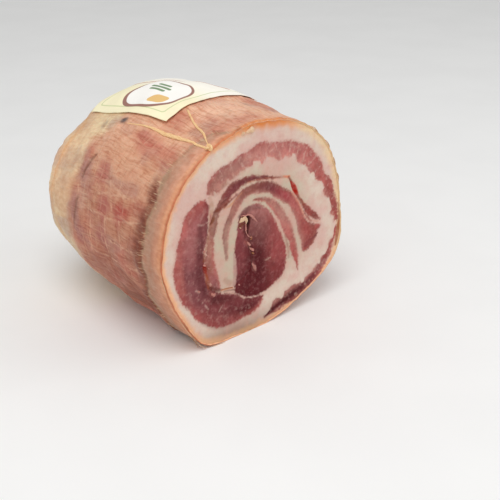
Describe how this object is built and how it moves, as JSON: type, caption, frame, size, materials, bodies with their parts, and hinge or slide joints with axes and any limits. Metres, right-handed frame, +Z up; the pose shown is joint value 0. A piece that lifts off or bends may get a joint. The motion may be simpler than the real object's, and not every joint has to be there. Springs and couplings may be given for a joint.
{
  "type": "rolled pancetta half",
  "caption": "Half of a rolled cured pork belly, cut square across to show its spiral of fat and lean, in its casing with a paper label and a knotted twine.",
  "frame": {"origin": "under the middle of the part's box, on the surface that it rests on", "axes": "+X to the right along the cut face as seen from in front, +Y along the roll from the cut face back to the closed end, +Z up; the cut face looks along -Y"},
  "size_m": [0.1578, 0.1648, 0.1498],
  "materials": {
    "cured_meat": "soft moist cured meat: pinkish white fat and dark red lean on the cut, salmon casing with a fine net print on the wall, satin",
    "label_paper": "matt cream paper with a plain printed cartouche in white, brown, green and ochre",
    "twine": "matt straw-coloured twisted cotton, a little greasy"
  },
  "bodies": {
    "root": {"pancetta": "cured_meat", "label": "label_paper", "twine": "twine"}
  },
  "joints": []
}
